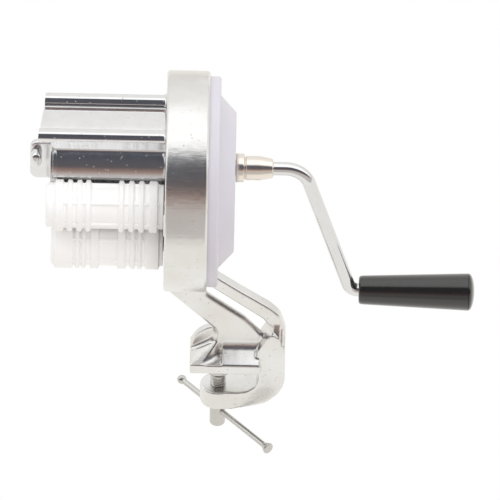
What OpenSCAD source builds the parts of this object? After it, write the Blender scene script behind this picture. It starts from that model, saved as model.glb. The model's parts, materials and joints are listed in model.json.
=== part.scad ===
// Clamp-on hand-cranked roller grater: cast frame with a gear housing, two ribbed
// rollers in front of a hood, a crank with a spinning grip, and a screw clamp.
// X runs along the shafts towards the crank, Y away from the operator, Z up.
// The origin is on the clamp screw's axis, on the underside of the upper jaw.

/* [Gear housing] */
// Outer diameter of the housing ring
housing_d = 114; // [112:1:122]
// Width of the housing ring along the shafts
housing_w = 22.2; // [22.2:0.2:26]
// Thickness of the ring wall
ring_wall = 4.5; // [3.5:0.1:5]
// Thickness of the back wall that carries the bushes
back_wall = 4; // [3:0.1:5]
// Height of the crank axis above the ring's centre
crank_up = 9.5; // [8:0.1:10]

/* [Gear train] */
// Tooth module of every gear
gear_module = 1.5; // [1.5:0.05:1.55]
// Teeth on the crank gear
crank_teeth = 40; // [38:1:40]
// Teeth on the drive pinion
drive_teeth = 14; // [13:1:14]
// Teeth on each roller pinion
roller_teeth = 18; // [17:1:18]
// Face width of each gear
gear_w = 5.8; // [4.5:0.1:5.8]
// Backlash between two meshed gears
backlash = 0.3; // [0.2:0.01:0.4]

/* [Cover] */
// Radial set-back of the cover's lip from the ring's outside
cover_inset = 2.7; // [2:0.1:3.2]
// Height of the cover's lip
cover_lip = 5.6; // [4:0.1:6]
// Height of the cover's cone above the lip
cover_rise = 8.1; // [8:0.1:10]
// Radius of the cone at its foot
cone_foot_r = 44.5; // [43:0.1:47]
// Radius of the cover's flat face
cone_top_r = 35.9; // [34:0.1:38]
// Wall of the cover
cover_wall = 2.5; // [2:0.1:3]

/* [Rollers] */
// Length of the upper roller
roller_len = 59.9; // [54:0.1:66]
// Radius over the ribs
roller_r = 13.3; // [12.6:0.05:13.35]
// Depth of the grooves between ribs
rib_depth = 1.8; // [1:0.1:2.5]
// Radius of the roller shafts
roller_shaft_r = 4; // [3.5:0.1:4.5]

/* [Hood] */
// Inner radius of the hood
hood_r = 22; // [20:0.1:22.5]
// Wall of the hood
hood_wall = 3; // [2:0.1:3.5]
// Length of the hood
hood_len = 59.3; // [54:0.1:66]
// Height of the hood's beads above the ring's centre
hood_top = 35.7; // [32:0.1:36]
// Width of each bead beyond its wall
rim_w = 5; // [4:0.1:6]

/* [Crank] */
// Throw of the crank, from shaft axis to grip axis
crank_throw = 79.2; // [60:0.1:95]
// Diameter of the crank rod
rod_d = 7; // [6:0.1:8]
// Length of the grip without its end cap
grip_len = 56.8; // [45:0.1:70]
// Radius of the grip at the crank end
grip_r0 = 7.4; // [6.5:0.1:8]
// Radius of the grip at the free end
grip_r1 = 9.7; // [9:0.1:12]

/* [Clamp] */
// Clear height between the two jaws
throat = 15.7; // [15:0.1:22]
// Diameter of the clamp screw
screw_d = 8; // [7:0.1:9]
// Length of the sliding T-bar
tbar_len = 73.3; // [60:0.1:88]
// Diameter of the T-bar
tbar_d = 3; // [2.5:0.1:3.4]
// Radius of the pressure pad
pad_r = 7.5; // [6:0.1:8.5]
// Width of the upper jaw
jaw_w = 25.4; // [22:0.1:30]

/* [Hidden] */
$fn = 96;
eps = 0.01;
run_fit = 0.05;         // radial clearance of a turning or sliding fit
set_fit = 0.02;         // radial clearance of a fixed fit

// where the ring's centre sits, seen from the origin at the jaw
ring_r = housing_d / 2;
jaw_thick = 5.5;
jaw_drop = 117.8 + ring_r - 57;
jaw_x = 17.9;

// planes along X, from the ring's middle
wall_out = -11.1;
wall_in = wall_out + back_wall;
rim_x = wall_out + housing_w;
boss_end = wall_in + 4.5;
lip_x = rim_x + cover_lip;
face_x = lip_x + cover_rise;
gear_x1 = boss_end + 0.4;
gear_x2 = gear_x1 + gear_w + 2;

// shaft axes in the YZ plane, from the ring's centre
crank_axis = [0, crank_up];
mesh_far = gear_module * (crank_teeth + drive_teeth) / 2;
mesh_near = gear_module * roller_teeth;
lower_y = -19.6;
upper_y = -22.8;
lower_axis = [lower_y, crank_up - sqrt(mesh_far * mesh_far - lower_y * lower_y)];
upper_rise = sqrt(mesh_near * mesh_near - (upper_y - lower_y) * (upper_y - lower_y));
upper_axis = [upper_y, lower_axis[1] + upper_rise];
boss_r = 9;

// hood
hood_axis = [9, 3];
hood_out = hood_r + hood_wall;
rim_at = 15.6;          // from the hood's middle to the middle of a bead
neck_in = 11.4;         // half width between the neck's walls
hood_left = wall_out - hood_len;
near_end = hood_left - 6.5;
far_end = hood_left - 3;
panel_z = hood_top - 4.5;      // the panel's edges, at the foot of the beads
panel_crown = 1.5;
crown_r = (neck_in * neck_in + panel_crown * panel_crown) / (2 * panel_crown);

// crank
crank_lean = 17.8;
bend_r1 = 13;
bend_r2 = 5.5;
bend_turn = 90 - crank_lean;
shaft_r = 5;
spigot_r = 4;
collar_x = face_x + 0.2;
hub_x = collar_x + 5;
hub_end = hub_x + 14.4;
corner_x1 = hub_end + 15.5;
corner_x2 = corner_x1 + crank_throw * tan(crank_lean);
grip_z = crank_up - crank_throw;
grip_x = corner_x2 + 4.3;
grip_end = grip_x + grip_len;
rod_end = grip_end - 9;

// clamp
pad_gap = 3;
pad_thick = 5.5;
boss_top = -jaw_drop - throat;
boss_bot = boss_top - 11.1;
pad_top = -jaw_drop - pad_gap;
screw_tip = pad_top - 2.2;
screw_shoulder = pad_top - pad_thick - 0.1;
tbar_z = boss_bot - 6;
screw_bot = tbar_z - 9.7;
tbar_turn = -50.3;
tbar_back = 31;
spine_in = 39;
spine_out = 52.4;

module place() { translate([-jaw_x, 0, jaw_drop]) children(); }

module along_x() { rotate([90, 0, 90]) children(); }

module at_axis(axis, x) { translate([x, axis[0], axis[1]]) along_x() children(); }

module rod_x(axis, x0, x1, r) { at_axis(axis, x0) cylinder(h = x1 - x0, r = r); }

module slab_y(half, points) {
    rotate([90, 0, 0]) translate([0, 0, -half]) linear_extrude(2 * half) polygon(points);
}

// ---- involute gears ----
function involute(a) = tan(a) * 180 / PI - a;
function tooth_half(r, n) =
    let (pitch = gear_module * n / 2, base = pitch * cos(20))
    90 / n - backlash / 4 / pitch * 180 / PI + involute(20)
    - (r > base ? involute(acos(base / r)) : 0);
function polar(r, a) = [r * cos(a), r * sin(a)];
function flank(n) =
    let (pitch = gear_module * n / 2, base = pitch * cos(20), root = pitch - 1.25 * gear_module,
        tip = pitch + gear_module, low = max(base, root))
    concat([root], [for (k = [0:4]) low + (tip - low) * k / 4]);

module gear_outline(n, phase) {
    radii = flank(n);
    count = len(radii);
    polygon([for (i = [0:n - 1], k = [0:2 * count - 1])
        let (r = radii[k < count ? k : 2 * count - 1 - k], side = k < count ? -1 : 1)
        polar(r, phase + 360 * i / n + side * tooth_half(r, n))]);
}

module key_slot(r) { translate([0, r - 1.2, 0]) square([3.04, 5.04], center = true); }

module spur(n, phase, bore_r, w) {
    linear_extrude(w) difference() {
        gear_outline(n, phase);
        circle(bore_r + set_fit);
        key_slot(bore_r);
    }
}

function heading(a, b) = atan2(b[1] - a[1], b[0] - a[0]);
crank_phase = heading(crank_axis, lower_axis);
drive_phase = crank_phase + 180 + 180 / drive_teeth;
lower_phase = heading(lower_axis, upper_axis);
upper_phase = lower_phase + 180 + 180 / roller_teeth;

// ---- cast frame: housing, arm and clamp in one casting ----
post_r = 4;
post_head = 2.2;
post_reach = ring_r - ring_wall - post_r - 2.5;
posts = [for (a = [45, 135, 315]) polar(post_reach, a)];
hood_bolts = [[hood_axis[0] - rim_at, hood_top - 2], [hood_axis[0] + rim_at, hood_top - 2],
    hood_axis + polar(hood_out + 1.5, 300)];

module housing_shell() {
    at_axis([0, 0], wall_out) rotate_extrude() polygon([[0, 0], [ring_r - 1, 0], [ring_r, 1],
        [ring_r, housing_w - 1.2], [ring_r - 1.2, housing_w], [ring_r - ring_wall, housing_w],
        [ring_r - ring_wall, back_wall], [0, back_wall]]);
    for (axis = [crank_axis, upper_axis, lower_axis]) rod_x(axis, wall_in - eps, boss_end, boss_r);
}

module housing_bores() {
    rod_x(crank_axis, wall_out + 2, boss_end + 1, 6 + set_fit);
    for (axis = [upper_axis, lower_axis]) rod_x(axis, wall_out - 1, boss_end + 1, 6.5 + set_fit);
    for (p = posts) rod_x(p, wall_out - 1, wall_in + 1, 2.2);
    for (p = posts) rod_x(p, wall_out - 1, wall_out + post_head, 3.6 + set_fit);
    for (p = hood_bolts) rod_x(p, wall_out - 1, wall_in + 1, 1.6);
}

// all points below hang from the ring's lowest point, or stand on the jaw
drop = -ring_r;
jaw_tip = 3.1;
jaw_z = -jaw_drop;
leg_points = [[-10, drop + 5], [-10, drop - 14.2], [19.6, jaw_z + 16.8], [jaw_tip, jaw_z + 7.1],
    [jaw_tip, jaw_z + 1], [spine_in + 2, jaw_z + 1], [spine_out - 1, jaw_z + 6],
    [47, jaw_z + 20], [45.6, jaw_z + 22.3], [41.5, jaw_z + 17.4], [31, jaw_z + 29],
    [10.9, drop - 16.6], [10.9, drop + 5]];
rail_points = [[5, drop + 2], [11.1, drop + 0.3], [17.3, drop - 4.4], [28.3, drop - 12.6],
    [36.1, drop - 18], [44, drop - 23.6], [49.2, drop - 28.7], [spine_out, jaw_z + 21.8],
    [spine_out, jaw_z + 10], [46.6, jaw_z + 17], [46.6, jaw_z + 24.2], [44.6, drop - 32.4],
    [41, drop - 28.2], [33.3, drop - 22.8], [25.4, drop - 17], [9, drop - 5]];
spine_points = [[46, jaw_z + 20], [spine_out, jaw_z + 19], [spine_out, boss_top + 8.5],
    [51.3, boss_top + 4], [48.7, boss_top - 0.9], [43, boss_top - 6.3],
    [34.7, boss_bot + 2.2], [25.5, boss_bot + 0.2], [25.5, boss_bot], [jaw_x, boss_bot],
    [jaw_x, boss_top], [28, boss_top], [33, boss_top + 0.8], [37.6, boss_top + 4.5],
    [spine_in, jaw_z - 6], [37.5, jaw_z - 2], [33, jaw_z], [33, jaw_z + jaw_thick],
    [40.2, jaw_z + 13]];

module arm() {
    slab_y(2.4, leg_points);
    slab_y(3.65, rail_points);
    slab_y(8.5, spine_points);
    web();
    mirror([0, 1, 0]) web_fillet();
}

// concave blend between the jaw's top and the arm's side
fillet_r = 6;
jaw_top = jaw_z + jaw_thick;
web_x = 20.8;
module web_fillet() {
    translate([web_x, 0, 0]) along_x() linear_extrude(spine_in - web_x) polygon(concat(
        [[0, jaw_top - 1]], [[-2.3 - fillet_r, jaw_top - 1]],
        [for (a = [270:15:360]) [-2.3 - fillet_r, jaw_top + fillet_r] + polar(fillet_r, a)],
        [[0, jaw_top + fillet_r]]));
}

// on the operator's side the jaw's top slopes up before it turns into the arm
web_slope = 32;
module web() {
    foot = -jaw_w / 2 + 0.4;
    turn_y = -2.3 - fillet_r * (1 - sin(web_slope));
    turn_z = jaw_top + 0.3 + (turn_y - foot) * tan(web_slope);
    centre = [-2.3 - fillet_r, turn_z + fillet_r * cos(web_slope)];
    translate([web_x, 0, 0]) along_x() linear_extrude(spine_in - web_x) polygon(concat(
        [[0, jaw_top - 1], [foot, jaw_top - 1], [foot, jaw_top + 0.3]],
        [for (k = [0:6]) centre + polar(fillet_r, 270 + web_slope + k * (90 - web_slope) / 6)],
        [[0, centre[1]]]));
}

module jaws() {
    translate([jaw_tip, -jaw_w / 2, jaw_z]) cube([spine_in + 0.7 - jaw_tip, jaw_w, jaw_thick]);
    translate([jaw_x, 0, boss_bot]) cylinder(h = boss_top - boss_bot, r = 9.3);
    gusset();
    lobe();
}

// ramp that climbs from the jaw's tip to the arm, on the operator's side
module gusset() {
    hull() polyhedron(points = [[jaw_tip, -jaw_w / 2, jaw_top - 1], [7, -jaw_w / 2, jaw_top - 1],
        [19.4, 0, jaw_top - 1], [jaw_tip, 0, jaw_top - 1], [jaw_tip, -jaw_w / 2, jaw_top + 0.2],
        [7, -jaw_w / 2, jaw_top + 0.2], [17.9, -3.3, jaw_top + 6.9], [jaw_tip, -1, jaw_top + 1.6],
        [19.4, 0, jaw_top + 10.4], [jaw_tip, 0, jaw_top + 1.6]], faces = [[0, 1, 2, 3], [4, 5, 6, 7]]);
}

// rounded web behind the arm, standing on the jaw
module lobe() {
    intersection() {
        translate([jaw_x, 4.6, jaw_top + 1.2]) rotate([90, 0, 0]) cylinder(h = 4.4, r = 14.8);
        translate([jaw_tip, 0, jaw_z + 1]) cube([22, 6, 30]);
    }
}

module clamp_frame() {
    color([0.80, 0.80, 0.81]) place() difference() {
        union() {
            housing_shell();
            arm();
            jaws();
        }
        housing_bores();
        rod_x([0, 0], wall_in + 4.6, rim_x + 20, ring_r - ring_wall);
        translate([jaw_x, 0, boss_bot - 5]) cylinder(h = throat + 13, r = screw_d / 2 + run_fit);
    }
}

// two beads and the crowned panel between them
module top_profile() {
    bead_out = rim_at + rim_w / 2;
    bead_slope = 2.6;
    for (side = [0, 1]) translate([hood_axis[0], 0]) mirror([side, 0])
        polygon([[neck_in - 0.5, hood_top], [bead_out - bead_slope, hood_top],
            [bead_out, hood_top - bead_slope], [bead_out, hood_top - 4],
            [neck_in + hood_wall, hood_top - 4], [neck_in + hood_wall, hood_axis[1] + 18],
            [neck_in - 0.5, hood_axis[1] + 18]]);
    intersection() {
        translate([hood_axis[0], panel_z + panel_crown - crown_r]) circle(crown_r);
        translate([hood_axis[0] - neck_in - 1, panel_z - hood_wall])
            square([2 * neck_in + 2, hood_wall + panel_crown + 1]);
    }
}

module hood_profile() {
    difference() {
        union() {
            translate(hood_axis) circle(hood_out);
            top_profile();
        }
        translate(hood_axis) circle(hood_r);
        translate([hood_axis[0] - neck_in, hood_axis[1]])
            square([2 * neck_in, panel_z - hood_wall - hood_axis[1]]);
        translate(upper_axis) circle(roller_r + 0.9);
        translate(hood_axis) polygon([[0, 0], polar(40, 165), polar(60, 205), polar(40, 250)]);
    }
}

// the top runs out past the hood's end, further on the operator's side
module top_end() {
    bead_out = rim_at + rim_w / 2;
    intersection() {
        translate([near_end - 1, 0, 0]) along_x() linear_extrude(hood_left + 1 - near_end) top_profile();
        translate([0, 0, panel_z - hood_wall]) linear_extrude(20)
            polygon([[near_end, hood_axis[0] - bead_out], [far_end, hood_axis[0] + bead_out],
                [hood_left + 6, hood_axis[0] + bead_out], [hood_left + 6, hood_axis[0] - bead_out]]);
    }
}

module hood_end() {
    translate([hood_left, 0, 0]) along_x() linear_extrude(2.5) difference() {
        union() {
            translate(hood_axis) circle(hood_out);
            translate([hood_axis[0] - neck_in - 1, hood_axis[1]])
                square([2 * neck_in + 2, panel_z - hood_axis[1]]);
        }
        translate(upper_axis) circle(roller_r + 0.9);
        translate(lower_axis) circle(roller_r + 0.9);
    }
}

module roller_hood() {
    color([0.84, 0.84, 0.86]) place() difference() {
        union() {
            translate([hood_left, 0, 0]) along_x() linear_extrude(hood_len) hood_profile();
            hood_end();
            top_end();
            rod_x(hood_bolts[2], wall_out - 14, wall_out, 3.4);
            lug();
        }
        for (p = hood_bolts) rod_x(p, wall_out - 9, wall_out + 1, 1.5 + set_fit);
        rod_x(hood_axis, hood_left + 2.5, wall_out - 15, hood_r);
        pin_bore(1.75 + set_fit, 10);
    }
}

// ear at the hood's free end, with a round-headed pin
lug_y = [5, 9];
lug_z = [-4, 19.4];
lug_reach = 10.6;
module lug() {
    round_r = 4;
    translate([hood_left - lug_reach, lug_y[1], 0]) rotate([90, 0, 0])
        linear_extrude(lug_y[1] - lug_y[0]) union() {
            translate([round_r, lug_z[0]]) square([lug_reach - round_r + 0.1, lug_z[1] - lug_z[0]]);
            translate([0, lug_z[0] + round_r]) square([5, lug_z[1] - lug_z[0] - 2 * round_r]);
            for (z = [lug_z[0] + round_r, lug_z[1] - round_r]) translate([round_r, z]) circle(round_r);
        }
}

pin_r = 3;
pin_at = [hood_left + 3.2 - lug_reach, 12];
module pin_bore(r, length) {
    translate([pin_at[0], lug_y[1] + 1, pin_at[1]]) rotate([90, 0, 0]) cylinder(h = length, r = r);
}

module hood_pin() {
    color([0.86, 0.86, 0.88]) place() translate([pin_at[0], lug_y[1], pin_at[1]])
        rotate([90, 0, 0]) rotate_extrude() polygon(concat([[0, 0], [1.75, 0], [1.75, 4], [pin_r, 4],
            [pin_r, 9.3]], [for (a = [15:15:90]) [pin_r * cos(a), 9.3 + 2.2 * sin(a)]]));
}

module screw_x(p, x0, length, r, head_r, head_h) {
    rod_x(p, x0, x0 + length, r);
    difference() {
        rod_x(p, x0 + length, x0 + length + head_h, head_r);
        rod_x(p, x0 + length + head_h - 1, x0 + length + head_h + 1, head_r / 2.2, $fn = 6);
    }
}

module hood_screws() {
    color([0.62, 0.62, 0.64]) place() for (p = hood_bolts) screw_x(p, wall_in - 11.5, 11.5, 1.5, 2.8, 1.8);
}

// ---- cover ----
module cover_body() {
    lip_r = ring_r - cover_inset;
    at_axis([0, 0], 0) rotate_extrude() difference() {
        polygon([[0, rim_x], [lip_r, rim_x], [lip_r, lip_x - 1.2], [lip_r - 1.2, lip_x],
            [cone_foot_r, lip_x], [cone_top_r, face_x], [0, face_x]]);
        polygon([[0, rim_x - 1], [lip_r - cover_wall, rim_x - 1], [lip_r - cover_wall, lip_x - cover_wall],
            [cone_foot_r - cover_wall, lip_x - cover_wall], [cone_top_r - cover_wall, face_x - cover_wall],
            [0, face_x - cover_wall]]);
    }
    spigot = ring_r - ring_wall - 0.1;
    at_axis([0, 0], rim_x - 2.5) difference() {
        cylinder(h = 4, r = spigot);
        translate([0, 0, -1]) cylinder(h = 6, r = spigot - 1.8);
    }
    for (p = posts) rod_x(p, wall_in, lip_x - 1, post_r);
    rod_x(crank_axis, gear_x2 + gear_w + 1.8, face_x, 9.5);
    rod_x(lower_axis, gear_x2 + gear_w + 1.8, face_x - 3.5, 7);
}

module gear_cover() {
    color([0.80, 0.79, 0.83]) place() difference() {
        cover_body();
        rod_x(crank_axis, 0, face_x + 1, 7 + set_fit);
        rod_x(lower_axis, 0, face_x - 6.5, roller_shaft_r - 0.5 + run_fit);
        for (p = posts) rod_x(p, wall_in - 1, wall_in + 14, 2 + set_fit);
    }
}

module cover_screws() {
    color([0.62, 0.62, 0.64]) place() for (p = posts) mirror([1, 0, 0])
        screw_x(p, -wall_in - 12, 12 + back_wall - post_head, 2, 3.6, post_head);
}

// ---- bushes ----
module bush(axis, x0, x1, outer, bore) {
    difference() {
        rod_x(axis, x0, x1, outer);
        rod_x(axis, x0 - 1, x1 + 1, bore);
    }
}

module front_bush() {
    color([0.72, 0.56, 0.32]) place()
        bush(crank_axis, gear_x2 + gear_w + 1.8, face_x, 7, shaft_r + run_fit);
}

module rear_bush() {
    color([0.72, 0.56, 0.32]) place() bush(crank_axis, wall_out + 2, boss_end, 6, spigot_r + run_fit);
}

module upper_bush() {
    color([0.72, 0.56, 0.32]) place() bush(upper_axis, wall_out, boss_end, 6.5, roller_shaft_r + run_fit);
}

module lower_bush() {
    color([0.72, 0.56, 0.32]) place() bush(lower_axis, wall_out, boss_end, 6.5, roller_shaft_r + run_fit);
}

// ---- crank ----
module turned(axis, points) { at_axis(axis, 0) rotate_extrude() polygon(points); }

module keyway(axis, r, x0, x1) {
    translate([x0, axis[0] - 1.52, axis[1] + r - 1.5]) cube([x1 - x0, 3.04, 4]);
}

module clip_ring(axis, r, x0) {
    difference() {
        rod_x(axis, x0, x0 + 1, r + 1.8);
        rod_x(axis, x0 - 1, x0 + 2, r - 0.5 + set_fit);
        translate([x0 - 1, axis[0] - 1.5, axis[1] - r - 4]) cube([3, 3, r + 4]);
    }
}

module clip_groove(axis, r, x0) {
    difference() {
        rod_x(axis, x0 - set_fit, x0 + 1 + set_fit, r + 1);
        rod_x(axis, x0 - 1, x0 + 2, r - 0.5);
    }
}

module crank_shaft() {
    color([0.70, 0.70, 0.72]) place() difference() {
        turned(crank_axis, [[0, wall_out + 2.4], [spigot_r, wall_out + 2.4], [spigot_r, boss_end + 0.3],
            [6.5, boss_end + 0.3], [6.5, gear_x2 - set_fit], [shaft_r, gear_x2 - set_fit],
            [shaft_r, face_x], [spigot_r, face_x], [spigot_r, hub_x + 6], [0, hub_x + 6]]);
        keyway(crank_axis, shaft_r, gear_x2, gear_x2 + gear_w);
        clip_groove(crank_axis, shaft_r, gear_x2 + gear_w + 0.1);
        cross_hole(hub_x + 3.4, 1.25 + set_fit);
    }
}

module crank_gear() {
    color([0.66, 0.62, 0.52]) place() at_axis(crank_axis, gear_x2) difference() {
        spur(crank_teeth, crank_phase, shaft_r, gear_w);
        for (side = [-1, gear_w - 1.5]) translate([0, 0, side]) difference() {
            cylinder(h = 2.5, r = 25);
            cylinder(h = 2.5, r = 11);
        }
        for (a = [30:60:330]) rotate(a) translate([18, 0, -1]) cylinder(h = 10, r = 4);
    }
}

module key_block(axis, r, x0, length) {
    translate([x0, axis[0] - 1.5, axis[1] + r - 1.48]) cube([length, 3, 2.7]);
}

module crank_key() {
    color([0.55, 0.55, 0.57]) place() key_block(crank_axis, shaft_r, gear_x2 + 0.1, gear_w - 0.2);
}

module gear_clip() {
    color([0.45, 0.45, 0.47]) place() clip_ring(crank_axis, shaft_r, gear_x2 + gear_w + 0.1);
}

module crank_collar() {
    color([0.80, 0.76, 0.70]) place() difference() {
        turned(crank_axis, [[0, collar_x], [7.1, collar_x], [7.5, collar_x + 0.4],
            [7.5, collar_x + 4.2], [7.1, collar_x + 4.6], [5.6, collar_x + 4.7], [5.6, hub_x],
            [0, hub_x]]);
        rod_x(crank_axis, collar_x - 1, hub_x + 1, spigot_r + set_fit);
    }
}

module cross_hole(x, r) {
    translate([x, 0, crank_up - 10]) cylinder(h = 20, r = r);
}

module crank_hub() {
    color([0.80, 0.76, 0.70]) place() difference() {
        turned(crank_axis, [[0, hub_x], [5.9, hub_x], [6.3, hub_x + 0.4], [6.3, hub_x + 7.5],
            [5, hub_end - 0.6], [4.6, hub_end], [0, hub_end]]);
        rod_x(crank_axis, hub_x - 1, hub_x + 6.2, spigot_r + set_fit);
        rod_x(crank_axis, hub_x + 6, hub_end + 1, rod_d / 2 + set_fit);
        cross_hole(hub_x + 3.4, 1.25 + set_fit);
        cross_hole(hub_x + 9.4, 1 + set_fit);
    }
}

module hub_pins() {
    color([0.55, 0.55, 0.57]) place() {
        translate([hub_x + 3.4, 0, crank_up - 6.1]) cylinder(h = 12.2, r = 1.25);
        translate([hub_x + 9.4, 0, crank_up - 5.6]) cylinder(h = 11.2, r = 1);
    }
}

// a quarter-like bend with a short straight core through each of its ends
module bend(x, z, r, start) {
    core = 1.2;
    translate([x, 0, z]) rotate([90, 0, 0]) rotate([0, 0, start]) {
        rotate_extrude(angle = bend_turn) translate([r, 0]) circle(rod_d / 2);
        for (a = [0, bend_turn]) rotate([0, 0, a]) translate([r, core, 0]) rotate([90, 0, 0])
            cylinder(h = 2 * core, r = rod_d / 2 - 0.5);
    }
}

module crank_rod() {
    set1 = bend_r1 * tan(bend_turn / 2);
    set2 = bend_r2 * tan(bend_turn / 2);
    slant = crank_throw / cos(crank_lean) - set1 - set2;
    color([0.86, 0.86, 0.88]) place() difference() {
        union() {
            rod_x(crank_axis, hub_x + 6.4, corner_x1 - set1, rod_d / 2);
            bend(corner_x1 - set1, crank_up - bend_r1, bend_r1, crank_lean);
            translate([corner_x1 + set1 * sin(crank_lean), 0, crank_up - set1 * cos(crank_lean)])
                rotate([0, 180 - crank_lean, 0]) cylinder(h = slant, r = rod_d / 2);
            bend(corner_x2 + set2, grip_z + bend_r2, bend_r2, 180 + crank_lean);
            rod_x([0, grip_z], corner_x2 + set2, rod_end, rod_d / 2);
        }
        cross_hole(hub_x + 9.4, 1 + set_fit);
        rod_x([0, grip_z], rod_end - 12, rod_end + 1, 2 + set_fit);
    }
}

module grip() {
    color([0.10, 0.10, 0.10]) place() difference() {
        turned([0, grip_z], [[0, grip_x], [grip_r0 - 1, grip_x], [grip_r0, grip_x + 1],
            [grip_r1, grip_end], [0, grip_end]]);
        rod_x([0, grip_z], grip_x - 1, grip_end + 1, rod_d / 2 + run_fit);
        rod_x([0, grip_z], rod_end, grip_end + 1, 6.5);
    }
}

module grip_washer() {
    color([0.62, 0.62, 0.64]) place() bush([0, grip_z], rod_end + 0.1, rod_end + 1.3, 5.5, 2 + set_fit);
}

module grip_screw() {
    color([0.55, 0.55, 0.57]) place() screw_x([0, grip_z], rod_end - 10, 11.4, 2, 3.6, 2.4);
}

module grip_cap() {
    dome = 3.1;
    color([0.10, 0.10, 0.10]) place() turned([0, grip_z], concat([[0, grip_end - 2.5],
        [6.5 - set_fit, grip_end - 2.5], [6.5 - set_fit, grip_end], [grip_r1 - 0.1, grip_end]],
        [for (a = [0:15:90]) [(grip_r1 - 0.1) * cos(a), grip_end + dome * sin(a)]]));
}

// ---- rollers ----
// a rib is [middle, half width]; grooves have sloping sides
screw_seat = 4.2;
module roller_body(axis, x0, x1, ribs, end_round) {
    low = roller_r - rib_depth;
    difference() {
        union() {
            rod_x(axis, x0 + end_round, x1, low);
            turned(axis, concat([[0, x0]], [for (a = [90:-15:0])
                [low - end_round + end_round * cos(a), x0 + end_round - end_round * sin(a)]],
                [[low, x1 - 1], [0, x1 - 1]]));
            for (rib = ribs) turned(axis, [[0, rib[0] - rib[1] - 0.6], [low, rib[0] - rib[1] - 0.6],
                [roller_r, rib[0] - rib[1] + 0.3], [roller_r, rib[0] + rib[1] - 0.3],
                [low, rib[0] + rib[1] + 0.6], [0, rib[0] + rib[1] + 0.6]]);
            for (a = [15:60:315]) at_axis(axis, x0 + end_round + 1) rotate(a)
                translate([low - 1, -0.8, 0]) cube([rib_depth + 0.6, 1.6, x1 - x0 - end_round - 3]);
        }
        rod_x(axis, x0 - 1, x1 + 1, roller_shaft_r + set_fit);
        rod_x(axis, x0 - 1, x0 + screw_seat, 5);
    }
}

roller_right = wall_out - 1.3;
upper_left = roller_right - roller_len;
lower_left = upper_left + 2.9;
upper_ribs = [[upper_left + 7, 2.1], [upper_left + 12.5, 1.2], [upper_left + 17.4, 1.2],
    [upper_left + 21.9, 1.2], [-33.4, 1.2], [-28.2, 1.2], [-23.1, 1.2], [-16.9, 2.1]];
lower_ribs = [[lower_left + 6.6, 4.6], [lower_left + 13.7, 0.9], [lower_left + 16.9, 0.9],
    [lower_left + 22.5, 2], [-33, 2], [-27.3, 1.1], [-23.7, 0.9], [-17.3, 3.4]];

module upper_roller() {
    color([0.95, 0.95, 0.95]) place() roller_body(upper_axis, upper_left, roller_right, upper_ribs, 4);
}

module lower_roller() {
    color([0.95, 0.95, 0.95]) place() roller_body(lower_axis, lower_left, roller_right, lower_ribs, 2.5);
}

module upper_shaft() {
    color([0.70, 0.70, 0.72]) place() difference() {
        rod_x(upper_axis, upper_left + screw_seat, gear_x1 + gear_w + 1.4, roller_shaft_r);
        rod_x(upper_axis, upper_left + 3, upper_left + 16, 1.5 + set_fit);
        keyway(upper_axis, roller_shaft_r, gear_x1, gear_x1 + gear_w);
        clip_groove(upper_axis, roller_shaft_r, gear_x1 + gear_w + 0.1);
    }
}

module lower_shaft() {
    color([0.70, 0.70, 0.72]) place() difference() {
        union() {
            rod_x(lower_axis, lower_left + screw_seat, gear_x2 + gear_w + 1.3, roller_shaft_r);
            rod_x(lower_axis, gear_x2 + gear_w + 1, face_x - 6.8, roller_shaft_r - 0.5);
        }
        rod_x(lower_axis, lower_left + 3, lower_left + 16, 1.5 + set_fit);
        keyway(lower_axis, roller_shaft_r, gear_x1, gear_x2 + gear_w);
        clip_groove(lower_axis, roller_shaft_r, gear_x2 + gear_w + 0.1);
    }
}

module upper_pinion() {
    color([0.66, 0.62, 0.52]) place() at_axis(upper_axis, gear_x1)
        spur(roller_teeth, upper_phase, roller_shaft_r, gear_w);
}

module lower_pinion() {
    color([0.66, 0.62, 0.52]) place() at_axis(lower_axis, gear_x1)
        spur(roller_teeth, lower_phase, roller_shaft_r, gear_w);
}

module drive_pinion() {
    color([0.66, 0.62, 0.52]) place() {
        at_axis(lower_axis, gear_x2) spur(drive_teeth, drive_phase, roller_shaft_r, gear_w);
        at_axis(lower_axis, gear_x1 + gear_w + 0.1) linear_extrude(1.9 + eps) difference() {
            circle(7);
            circle(roller_shaft_r + set_fit);
            key_slot(roller_shaft_r);
        }
    }
}

module upper_key() {
    color([0.55, 0.55, 0.57]) place() key_block(upper_axis, roller_shaft_r, gear_x1 + 0.1, gear_w - 0.2);
}

module lower_key() {
    color([0.55, 0.55, 0.57]) place()
        key_block(lower_axis, roller_shaft_r, gear_x1 + 0.1, gear_x2 - gear_x1 + gear_w - 0.2);
}

module upper_clip() {
    color([0.45, 0.45, 0.47]) place() clip_ring(upper_axis, roller_shaft_r, gear_x1 + gear_w + 0.1);
}

module lower_clip() {
    color([0.45, 0.45, 0.47]) place() clip_ring(lower_axis, roller_shaft_r, gear_x2 + gear_w + 0.1);
}

module end_screw(axis, left) {
    mirror([1, 0, 0]) screw_x(axis, -left - 14, 14 - screw_seat + 0.1, 1.5, 4.6, 2.6);
}

module upper_screw() { color([0.62, 0.62, 0.64]) place() end_screw(upper_axis, upper_left); }

module lower_screw() { color([0.62, 0.62, 0.64]) place() end_screw(lower_axis, lower_left); }

// ---- clamp ----
module upright(z0, z1, r) { translate([jaw_x, 0, z0]) cylinder(h = z1 - z0, r = r); }

module tbar_line(from, length, r0, r1) {
    translate([jaw_x, 0, tbar_z]) rotate([0, 0, tbar_turn]) translate([from, 0, 0])
        rotate([0, 90, 0]) cylinder(h = length, r1 = r0, r2 = r1);
}

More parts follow.
